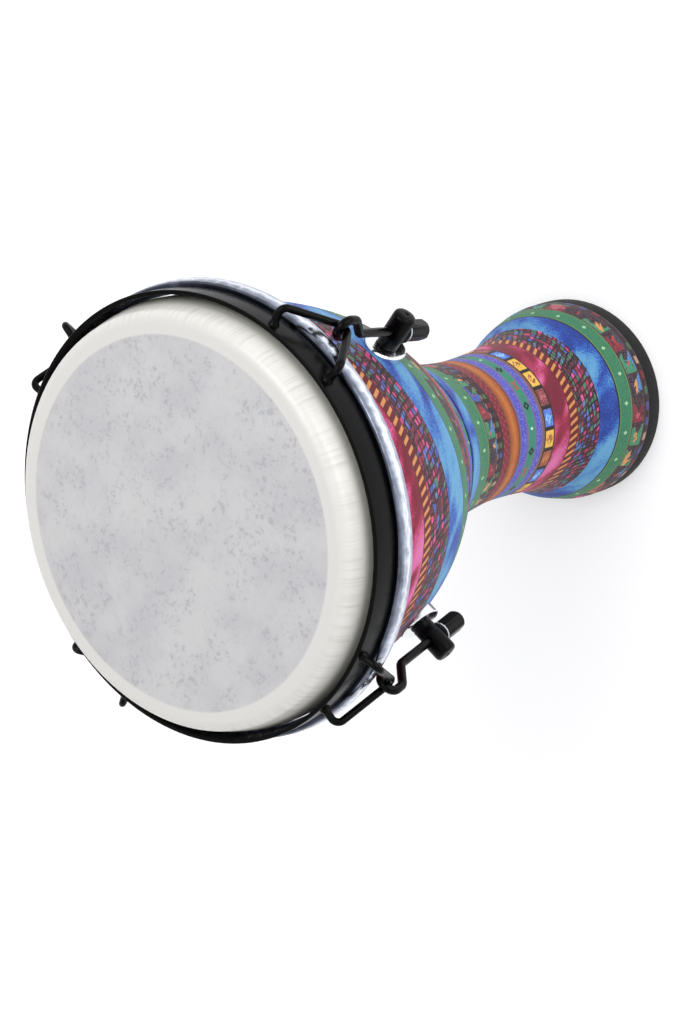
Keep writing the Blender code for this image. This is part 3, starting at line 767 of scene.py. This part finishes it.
def hoop_aluminium():
    """Rolled aluminium strip with rolling lines round the hoop and soft waves from the crimping. Its colour
    carries a painted reflection, a bright streaky band along its middle, and painted shade that darkens it
    towards both edges, most at the top under the tension ring."""
    tree = start("rolled aluminium")
    place = node(tree, "TexCoord", out="Object")
    parts = node(tree, "SeparateXYZ", place).node.outputs
    turn = node(tree, "VectorMath", place, (26.0, 26.0, 700.0), operation="MULTIPLY")
    rolled = node(tree, "TexNoise", turn, 1.0, 3.0, 0.7)
    wave = node(tree, "TexNoise", place, 55, 2.0)
    normal = node(
        tree, "Bump", Height=rolled, Strength=0.2, Distance=0.0002,
        Normal=node(tree, "Bump", Height=wave, Strength=0.25, Distance=0.002),
    )
    cloud = node(tree, "TexNoise", place, 120, 3.0)
    rough = node(tree, "MULTIPLY_ADD", cloud, 0.16, 0.14)
    # Painted reflection and shade: colour by height, bright along the middle with noise streaks, greyer at the
    # bottom and darkest at the top under the tension ring.
    rise = node(tree, "DIVIDE", node(tree, "SUBTRACT", parts["Z"], HOOP_BOTTOM), HOOP_TOP - HOOP_BOTTOM)
    sway = node(tree, "MULTIPLY", node(tree, "SUBTRACT", node(tree, "ADD", cloud, rolled), 1.0), 0.5)
    painted_reflection_tones = ["#8A8B9E", "#A3A4B8", "#B4B8C6", "#E6E9EF", "#B2B8C6", "#868D9C", "#6A707E", "#4A4E5A"]
    color = colored(node(tree, "ValToRGB", node(tree, "ADD", rise, sway)), painted_reflection_tones, "LINEAR")
    return new_material("rolled aluminium", color, rough, 1.0, normal=normal)


def powder_coat(name, color, light, rough):
    """Black powder coat on steel: a dielectric skin with a faint orange-peel surface and dusty patches."""
    tree = start(name)
    place = node(tree, "TexCoord", out="Object")
    peel = node(tree, "TexNoise", place, 900, 2.0, 0.5)
    dust = node(tree, "MapRange", node(tree, "TexNoise", place, 70, 4.0, 0.65), 0.45, 0.8)
    tint = node(tree, "Mix", node(tree, "MULTIPLY", dust, 0.6), color, light)
    finish = node(tree, "MULTIPLY_ADD", dust, 0.15, rough)
    normal = node(tree, "Bump", Height=peel, Strength=0.2, Distance=0.00012)
    return new_material(name, tint, finish, ior=1.5, normal=normal, Specular_IOR_Level=0.09)


def zinc_plate(name, color, light, rough):
    """Zinc-plated steel: a pale bluish metal with fine turning marks and cloudy plating."""
    tree = start(name)
    place = node(tree, "TexCoord", out="Object")
    cloud = node(tree, "TexNoise", place, 160, 3.0, 0.6)
    marks = node(tree, "TexNoise", place, 2400, 1.0)
    finish = node(tree, "MULTIPLY_ADD", cloud, 0.18, rough)
    return new_material(
        name, node(tree, "Mix", cloud, color, light), finish, 1.0,
        normal=node(tree, "Bump", Height=marks, Strength=0.1, Distance=0.00005),
    )


def foot_rubber():
    """Black moulded rubber: matte, finely pitted, and a little greyer where it scuffs at the sole."""
    tree = start("moulded rubber")
    place = node(tree, "TexCoord", out="Object")
    parts = node(tree, "SeparateXYZ", place).node.outputs
    pits = node(tree, "TexNoise", place, 1300, 2.0, 0.6)
    scuff = node(tree, "MapRange", node(tree, "TexNoise", place, 240, 3.0), 0.5, 0.75)
    low = node(tree, "MapRange", parts["Z"], 0.004, 0.0005)
    share = node(tree, "MULTIPLY", scuff, node(tree, "MULTIPLY_ADD", low, 0.7, 0.25))
    color = node(tree, "Mix", share, "#0D0C0C", "#2C2A29")
    rough = node(tree, "MULTIPLY_ADD", scuff, 0.15, 0.62)
    return new_material(
        "moulded rubber", color, rough, ior=1.52,
        normal=node(tree, "Bump", Height=pits, Strength=0.3, Distance=0.00015), Specular_IOR_Level=0.25,
    )


def shell_plastic():
    """Black moulded shell plastic, seen inside the foot: satin, with flow clouds and a pebbled mould grain."""
    tree = start("moulded plastic")
    place = node(tree, "TexCoord", out="Object")
    pebble = node(tree, "TexVoronoi", Vector=place, Scale=700.0)
    flow = node(tree, "TexNoise", place, 18, 3.0, 0.6)
    color = node(tree, "Mix", flow, "#161618", "#26262A")
    rough = node(tree, "MULTIPLY_ADD", flow, 0.2, 0.4)
    return new_material(
        "moulded plastic", color, rough, ior=1.49,
        normal=node(tree, "Bump", Height=pebble, Strength=0.25, Distance=0.00015),
    )


def glowing_pale_floor():
    """A plain matte paper backdrop with a very faint mottle. It also glows faintly though it is no lamp,
    which lifts the drum's shadow on it and lights the drum from below.
    """
    tree = start("glowing paper floor")
    place = node(tree, "TexCoord", out="Object")
    color = node(tree, "Mix", node(tree, "TexNoise", place, 6, 2.0), "#F4F4F4", "#F7F7F7")
    # Painted light: a faint emission makes the floor glow, lifting the drum's shadow and lighting the drum from
    # below.
    return new_material("glowing paper floor", color, 0.85, ior=1.45, Emission_Color=linear("#FFFFFF"),
                        Emission_Strength=0.2)


# ---- cloth ------------------------------------------------------------------------------------------
def bowl_rise(angle):
    """How far the bowl's print lines climb at an angle, as they do on cloth pulled over a bowl."""
    return PRINT_RISE * (1 - math.cos(2 * (angle - PRINT_LOW_SIDE)))


def wrapped(name, bands, low, high, rise, segments=360, step=0.004):
    """Cloth over the shell between two heights, in rows that follow its printed bands."""
    rows = []
    for index, (_, start_h, end_h, _) in enumerate(bands):
        count = max(1, math.ceil((end_h - start_h) / step))
        rows += [(start_h + (end_h - start_h) * k / count, index) for k in range(count)]
    rows.append((bands[-1][2], len(bands) - 1))
    mesh = bpy.data.meshes.new(name)
    bm = bmesh.new()
    layer = bm.loops.layers.uv.new("print")
    grid = []
    for height, _ in rows:
        ring = []
        for k in range(segments):
            angle = math.tau * k / segments
            z = min(max(height + rise(angle), low), high)
            r = covered_radius(z)
            ring.append(bm.verts.new((r * math.cos(angle), r * math.sin(angle), z)))
        grid.append(ring)
    for i in range(len(rows) - 1):
        for k in range(segments):
            j = (k + 1) % segments
            corners = ((i, k, 0), (i, j, 1), (i + 1, j, 1), (i + 1, k, 0))
            verts = [grid[row][column] for row, column, _ in corners]
            if max(v.co.z for v in verts) - min(v.co.z for v in verts) < 1e-7:
                continue
            if (verts[3].co - verts[0].co).length + (verts[2].co - verts[1].co).length < 2e-6:
                continue
            face = bm.faces.new(verts)
            face.material_index = rows[i][1]
            for loop, (row, column, extra) in zip(face.loops, corners):
                turn = (column if column or not extra else segments) / segments
                loop[layer].uv = (turn, loop.vert.co.z - rise(math.tau * column / segments))
    bmesh.ops.remove_doubles(bm, verts=bm.verts, dist=1e-6)
    for vert in [v for v in bm.verts if not v.link_faces]:
        bm.verts.remove(vert)
    bmesh.ops.recalc_face_normals(bm, faces=bm.faces)
    bm.to_mesh(mesh)
    bm.free()
    mesh.shade_smooth()
    mats = []
    for k, (kind, band_low, band_high, count) in enumerate(bands):
        mats.append(printed_cloth(f"{name} {k + 1} {kind}", kind, band_low, band_high, count))
    obj = add_object(name, mesh, *mats)
    skin = obj.modifiers.new("thickness", "SOLIDIFY")
    skin.thickness = CLOTH
    skin.offset = -1.0
    return obj


def make_cloth():
    foot = FOOT_RING_HEIGHT + GAP
    bowl = wrapped("bowl_cloth", BOWL_BANDS, SEAM_HEIGHT + 0.0006, CLOTH_TOP, bowl_rise)
    stem = wrapped("stem_cloth", STEM_BANDS, foot, SEAM_HEIGHT, lambda angle: 0.0)
    for obj, cad_node in ((bowl, "bowl_wrap"), (stem, "stem_wrap")):
        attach(obj, "drum")
        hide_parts(cad_node)


# ---- shell, foot and head -----------------------------------------------------------------------------
def saddle_face():
    return covered_radius(LUG_HEIGHT + SADDLE_HEIGHT / 2) + SADDLE_THIN_EDGE


def make_shell():
    """The moulded body, with a rounded bearing edge and a flat inside for each lug's washer."""
    bottom = LEDGE_HEIGHT + GAP
    top = HEIGHT - SHELL_INSET
    side = RIM_RADIUS - SHELL_INSET
    outside = [p for p in offset(OUTLINE, -SHELL_INSET) if bottom < p.y < HEIGHT - 0.0085]
    outside.insert(0, Vector((outside[0].x, bottom)))
    edge = [
        Vector((side, top - 0.0065)), Vector((side - 0.0006, top - 0.003)),
        Vector((side - 0.0023, top - 0.0009)), Vector((side - 0.0046, top)),
        Vector((side - SHELL_WALL, top - 0.0012)),
    ]
    inner_face = offset(OUTLINE, -SHELL_INSET - SHELL_WALL)
    inside = [p for p in inner_face if bottom < p.y < HEIGHT - 0.012]
    inside.insert(0, Vector((inside[0].x, bottom)))
    mesh = revolve("shell_body", [*outside, *edge, *inside[::-1]], 160, closed=True)
    inner = min(inner_face, key=lambda p: abs(p.y - LUG_HEIGHT)).x
    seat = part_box("backing_washer_1")[1][0] + GAP
    flats = []
    for k in range(LUG_COUNT):
        turn = Matrix.Rotation(math.tau * k / LUG_COUNT, 3, "Z")
        ends = [turn @ Vector((x, 0, LUG_HEIGHT)) for x in (inner - 0.02, seat)]
        flats.append((WASHER_FLAT_RADIUS, *ends))
    obj = add_object("shell_body", drilled(mesh, *flats), shell_plastic())
    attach(obj, "drum")
    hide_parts("shell")


def make_foot_ring():
    """A rubber ring whose groove takes the shell's foot."""
    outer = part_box("foot_ring")[1][0]
    groove = FOOT_RADIUS - SHELL_INSET + GAP
    inner = groove - SHELL_WALL - 2 * GAP
    corners = [
        (outer - 0.0005, FOOT_RING_HEIGHT), (outer, 0.008), (outer, 0.0), (inner - GAP - 0.003, 0.0),
        (inner - 0.003, 0.010), (inner, 0.010), (inner, LEDGE_HEIGHT), (groove, LEDGE_HEIGHT),
        (groove, FOOT_RING_HEIGHT),
    ]
    mesh = revolve("foot_rubber_ring", rounded(corners, 0.0005, 3), 200, closed=True)
    obj = add_object("foot_rubber_ring", mesh, foot_rubber())
    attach(obj, "drum")
    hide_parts("foot_ring")


def make_head():
    outline = [(PATCH_RADIUS * k / 20, HEIGHT) for k in range(21)]
    outline += [(PATCH_RADIUS + (SHOULDER_START - PATCH_RADIUS) * k / 4, HEIGHT) for k in range(1, 4)]
    for k in range(13):
        turn = SHOULDER_TURN * k / 12
        outline.append((SHOULDER_START + SHOULDER_RADIUS * math.sin(turn),
                        HEIGHT - SHOULDER_RADIUS * (1 - math.cos(turn))))
    last = outline[-1]
    for k in range(1, 13):
        outline.append((last[0] + (SKIRT_RADIUS - last[0]) * k / 12, last[1] + (SKIRT_TOP - last[1]) * k / 12))
    outline += [(SKIRT_RADIUS, SKIRT_TOP + (SKIRT_FOOT - SKIRT_TOP) * k / 8) for k in range(1, 9)]

    def pleated(angle, radius, height):
        depth = min(max((HEIGHT - 0.006 - height) / 0.02, 0.0), 1.0)
        wave = 0.6 * math.cos(angle * CRIMPS) + 0.4 * math.cos(angle * 37 + 1.3) * math.cos(angle * 61)
        return radius - 0.00045 * depth * (1 + wave), height

    mesh = revolve("head_film", outline, 384, reshape=pleated)
    obj = add_object("head_film", mesh, head_film())
    skin = obj.modifiers.new("thickness", "SOLIDIFY")
    skin.thickness = 0.0004
    skin.offset = -1.0
    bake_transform(obj)
    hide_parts("drumhead")


def make_hoops(black):
    corners = [
        (RING_INNER, RING_BOTTOM), (RING_OUTER, RING_BOTTOM), (RING_OUTER, RING_TOP), (RING_INNER, RING_TOP),
    ]
    mesh = revolve("steel_tension_ring", rounded(corners, 0.0009), 256, closed=True)
    ring = add_object("steel_tension_ring", mesh, black)
    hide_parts("tension_ring")

    inner = SKIRT_RADIUS + GAP
    middle = (HOOP_TOP + HOOP_BOTTOM) / 2
    outline = [Vector((inner, HOOP_TOP)), Vector((inner, HOOP_BOTTOM))]
    side = [(HOOP_OUTER - 0.0030, HOOP_BOTTOM), (HOOP_OUTER - 0.0012, HOOP_BOTTOM + 0.0004),
            (HOOP_OUTER - 0.0002, HOOP_BOTTOM + 0.0016), (HOOP_OUTER, HOOP_BOTTOM + 0.0032),
            (HOOP_OUTER - 0.0004, middle), (HOOP_OUTER - 0.0010, HOOP_TOP - 0.0040),
            (HOOP_OUTER - 0.0014, HOOP_TOP - 0.0014), (HOOP_OUTER - 0.0026, HOOP_TOP)]
    outline += flowing(side, 4)

    def crimped(angle, radius, height):
        if radius < HOOP_OUTER - 0.0028:
            return radius, height
        up = math.exp(-(((height - HOOP_TOP + 0.0052) / 0.0030) ** 2))
        mark = max(math.cos(angle * CRIMPS), 0.0) ** 3
        return radius - 0.00055 * up * mark, height

    mesh = revolve("flesh_hoop_channel", outline, 576, closed=True, reshape=crimped)
    hoop = add_object("flesh_hoop_channel", mesh, hoop_aluminium())
    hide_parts("flesh_hoop")
    for obj in (ring, hoop):
        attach(obj, "head_ring")


# ---- bails and lugs -----------------------------------------------------------------------------------
def bail_apex():
    """The height of the wire's centre at the rounded bottom of the V."""
    slope = math.atan2(BAIL_DEPTH, BAIL_X * math.tan(BAIL_SPREAD))
    return BAIL_TOP - BAIL_DEPTH + BAIL_TIP * (1 / math.cos(slope) - 1)


def make_bails(black):
    foot = RING_OUTER + 0.0001
    corners = []
    for side in (-1, 1):
        angle = side * BAIL_SPREAD
        on_ring = (foot * math.cos(angle), foot * math.sin(angle), BAIL_TOP)
        corners.append([on_ring, (BAIL_X, side * BAIL_X * math.tan(BAIL_SPREAD), BAIL_TOP)])
    path = [*corners[0], (BAIL_X, 0.0, BAIL_TOP - BAIL_DEPTH), *reversed(corners[1])]
    points = rounded_path(path, [BAIL_CORNER, BAIL_TIP, BAIL_CORNER])
    first, second = points[0], points[1]
    last, before = points[-1], points[-2]
    near = [0.12, 0.3, 0.6]
    points = [first, *[first.lerp(second, t) for t in near], *points[1:-1],
              *[last.lerp(before, t) for t in reversed(near)], last]
    weld = [1.5, 1.34, 1.1, 1.0]
    straight = [1.0] * (len(points) - 2 * len(weld))
    radii = [BAIL_WIRE * share for share in [*weld, *straight, *reversed(weld)]]
    at_lugs("bail_wire", tube("bail_wire", points, radii), black, "head_ring", "bail")


def rod_frame():
    x = saddle_face() + POST_REACH - ROD_INSET
    return Matrix.Translation((x, 0, LUG_HEIGHT)) @ Matrix.Rotation(ROD_TILT, 4, "Y")


def make_hooks(black, place):
    apex = place.inverted() @ Vector((BAIL_X, 0, bail_apex()))
    centre = Vector((apex.x, 0, apex.z - HOOK_DROP))
    up = centre.x + HOOK_BEND
    corners = [(0, 0, -ROD_END_DROP), (0, 0, ROD_BEND_RISE), (up, 0, ROD_BEND_RISE + ROD_SLANT_RISE)]
    points = rounded_path([*corners, (up, 0, centre.z)], [ROD_CORNER, ROD_CORNER])[:-1]
    for k in range(25):
        turn = math.pi * k / 24
        points.append(centre + HOOK_BEND * Vector((math.cos(turn), 0, math.sin(turn))))
    points.append(Vector((centre.x - HOOK_BEND, 0, centre.z - HOOK_TIP)))
    points, radii = rounded_ends(points, ROD_RADIUS, last=True)
    mesh = tube("hook_rod", points, radii, 28)
    at_lugs("hook_rod", mesh, black, "hook_{}", "hook_bolt", place)


def make_posts(black, place):
    base = saddle_face() + GAP
    end = saddle_face() + POST_REACH
    shoulder = end - POST_HEAD_LENGTH
    head = POST_HEAD_RADIUS
    outline = [(0.0, end - 0.0012), (0.0009, end - 0.0009), (0.0016, end - 0.0001), (0.0024, end)]
    outline += [(0.62 * head, end - 0.0003), (0.84 * head, end - 0.0008), (0.95 * head, end - 0.0017),
                (head, end - 0.0031), (head, shoulder + 0.0004), (head - 0.0004, shoulder),
                (POST_NECK_RADIUS + 0.0002, shoulder - 0.0005), (POST_NECK_RADIUS, shoulder - 0.0010),
                (POST_NECK_RADIUS, base + 0.001), (POST_NECK_RADIUS - 0.0004, base), (0.0, base)]
    mesh = revolve("lug_barrel", outline, 64)
    mesh.transform(Matrix.Translation((0, 0, LUG_HEIGHT)) @ Matrix.Rotation(math.pi / 2, 4, "Y"))
    hole = (ROD_RADIUS + 0.0006, place @ Vector((0, 0, -0.016)), place @ Vector((0, 0, 0.016)))
    seat = (0.0083, place @ Vector((0, 0, -SEAT_DROP - head)), place @ Vector((0, 0, -SEAT_DROP)))
    at_lugs("lug_barrel", drilled(mesh, hole, seat), black, "drum", "lug_post")


def make_saddles(bright):
    """An oval plate with a rolled edge whose back follows the bowl."""
    face = saddle_face()
    mesh = bpy.data.meshes.new("lug_plate")
    bm = bmesh.new()
    sides = 72
    rings = []
    steps = ((0.0, 0.0), (0.55, 0.0), (0.86, 0.0), (0.95, 0.0003), (1.0, 0.0011), (1.0, None), (0.6, None))
    for share, drop in steps:
        ring = []
        for k in range(sides):
            angle = math.tau * k / sides
            y = share * SADDLE_WIDTH / 2 * math.cos(angle)
            z = LUG_HEIGHT + share * SADDLE_HEIGHT / 2 * math.sin(angle)
            back = math.sqrt((covered_radius(z) + GAP) ** 2 - y * y)
            x = back if drop is None else max(face - drop, back + 0.0002)
            ring.append(bm.verts.new((x, y, z)))
        rings.append(ring)
    for low, high in zip(rings, rings[1:]):
        for k in range(sides):
            j = (k + 1) % sides
            bm.faces.new((low[k], low[j], high[j], high[k]))
    bm.faces.new(rings[-1])
    bmesh.ops.remove_doubles(bm, verts=bm.verts, dist=1e-6)
    bmesh.ops.recalc_face_normals(bm, faces=bm.faces)
    bm.to_mesh(mesh)
    bm.free()
    smooth(mesh)
    at_lugs("lug_plate", mesh, bright, "drum", "lug_saddle")


def make_nuts(black, place):
    """Tall hexagon nuts with softened corners, a domed end and a bored top."""
    top = -SEAT_DROP - 2 * GAP - WASHER
    low = top - NUT_LENGTH
    bore = ROD_RADIUS + 0.0006
    corner = NUT_FLATS / math.sqrt(3)
    rows = [(0.0, top - 0.0225, 0), (bore, top - 0.0225, 0), (bore, top - 0.0006, 0), (bore + 0.0006, top, 0),
            (0.0058, top, 0), (0.0066, top - 0.0004, 1), (0.0090, top - 0.0012, 1)]
    for k in range(9):
        turn = math.pi / 2 * k / 8
        radius = NUT_DOME_RADIUS * math.cos(turn) ** 0.8 if k < 8 else 0.0
        rows.append((radius, low + NUT_DOME * (1 - math.sin(turn)), 1))
    mesh = bpy.data.meshes.new("hex_nut")
    bm = bmesh.new()
    sides = 96
    rings = []
    for radius, height, hexed in rows:
        ring = []
        for k in range(sides):
            angle = math.tau * k / sides
            away = (angle + math.pi / 6) % (math.pi / 3) - math.pi / 6
            limit = min(NUT_FLATS / 2 / math.cos(away), corner - 0.00025)
            r = min(radius, limit) if hexed else radius
            ring.append(bm.verts.new((r * math.cos(angle), r * math.sin(angle), height)))
        rings.append(ring)
    for a, b in zip(rings, rings[1:]):
        for k in range(sides):
            j = (k + 1) % sides
            bm.faces.new((a[k], a[j], b[j], b[k]))
    bmesh.ops.remove_doubles(bm, verts=bm.verts, dist=1e-6)
    bmesh.ops.recalc_face_normals(bm, faces=bm.faces)
    bm.to_mesh(mesh)
    bm.free()
    smooth(mesh, 28)
    at_lugs("hex_nut", mesh, black, "nut_{}", "tuning_nut", place)


# ---- floor, light and camera ----------------------------------------------------------------------------
LENS = 68.75
SENSOR_WIDTH = 36.0
CAMERA_PLACE = Vector((0.7306, -0.4459, 1.3747))
CAMERA_AIM = Vector((-0.01356, -0.02254, 0.33))
CAMERA_ROLL = math.radians(-109.35)
LIGHTS_AIM = Vector((0, 0, 0.35))
FLOOR_HALF = 6.0
FLOOR_DROP = 0.0002


def make_camera():
    """Looks down past the head's rim, rolled so that the drum lies across the frame."""
    camera = bpy.data.objects.new("camera", bpy.data.cameras.new("camera"))
    bpy.context.scene.collection.objects.link(camera)
    camera.data.lens = LENS
    camera.data.sensor_width = SENSOR_WIDTH
    track = (CAMERA_AIM - CAMERA_PLACE).to_track_quat("-Z", "Y").to_matrix().to_4x4()
    roll = Matrix.Rotation(CAMERA_ROLL, 4, "Z")
    camera.matrix_world = Matrix.Translation(CAMERA_PLACE) @ track @ roll
    bpy.context.scene.camera = camera
    return camera


def soft_box(name, camera, offset_from_camera, size, power):
    """A large round area light beside the camera that faces the drum."""
    data = bpy.data.lights.new(name, "AREA")
    data.shape = "DISK"
    data.size = size
    data.energy = power
    light = bpy.data.objects.new(name, data)
    bpy.context.scene.collection.objects.link(light)
    light.location = camera.matrix_world @ Vector(offset_from_camera)
    light.rotation_euler = (LIGHTS_AIM - light.location).to_track_quat("-Z", "Y").to_euler()


def make_stage():
    """A wide paper floor and an even white sky with a grey band for the metal to mirror."""
    mesh = bpy.data.meshes.new("floor")
    corners = [(x * FLOOR_HALF, y * FLOOR_HALF, 0) for x, y in ((-1, -1), (1, -1), (1, 1), (-1, 1))]
    mesh.from_pydata(corners, [], [(0, 1, 2, 3)])
    floor = add_object("floor", mesh, glowing_pale_floor())
    floor.location.z = -FLOOR_DROP
    world = bpy.data.worlds.new("studio")
    world.use_nodes = True
    tree = world.node_tree
    view = node(tree, "TexCoord", out="Generated")
    height = node(tree, "SeparateXYZ", view, out="Z")
    middle = node(tree, "ABSOLUTE", node(tree, "SUBTRACT", height, 0.68))
    sky = node(tree, "Mix", node(tree, "MapRange", middle, 0.04, 0.16), "#A4A7B0", "#FFFFFF")
    back = tree.nodes["Background"]
    tree.links.new(sky, back.inputs["Color"])
    back.inputs["Strength"].default_value = 1.05
    bpy.context.scene.world = world
    bpy.context.scene.view_settings.view_transform = "Standard"


def main():
    camera = make_camera()
    make_stage()
    soft_box("key", camera, (-0.9, 0.6, 0.2), 1.1, 12)
    soft_box("fill", camera, (1.1, 0.6, -0.2), 1.3, 10)

    black = powder_coat("black powder coat", "#020203", "#09090A", 0.26)
    bright = zinc_plate("polished plate", "#DADCE0", "#F0F1F3", 0.08)
    zinc = zinc_plate("zinc plate", "#B9BDC4", "#D2D6DC", 0.25)
    make_shell()
    make_cloth()
    make_foot_ring()
    make_head()
    make_hoops(black)
    make_bails(black)
    place = rod_frame()
    make_posts(black, place)
    make_hooks(black, place)
    make_saddles(bright)
    make_nuts(black, place)
    for name in ("lug_screw", "backing_washer", "lug_washer"):
        for k in range(LUG_COUNT):
            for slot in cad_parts[f"{name}_{k + 1}"].material_slots:
                slot.material = zinc


main()
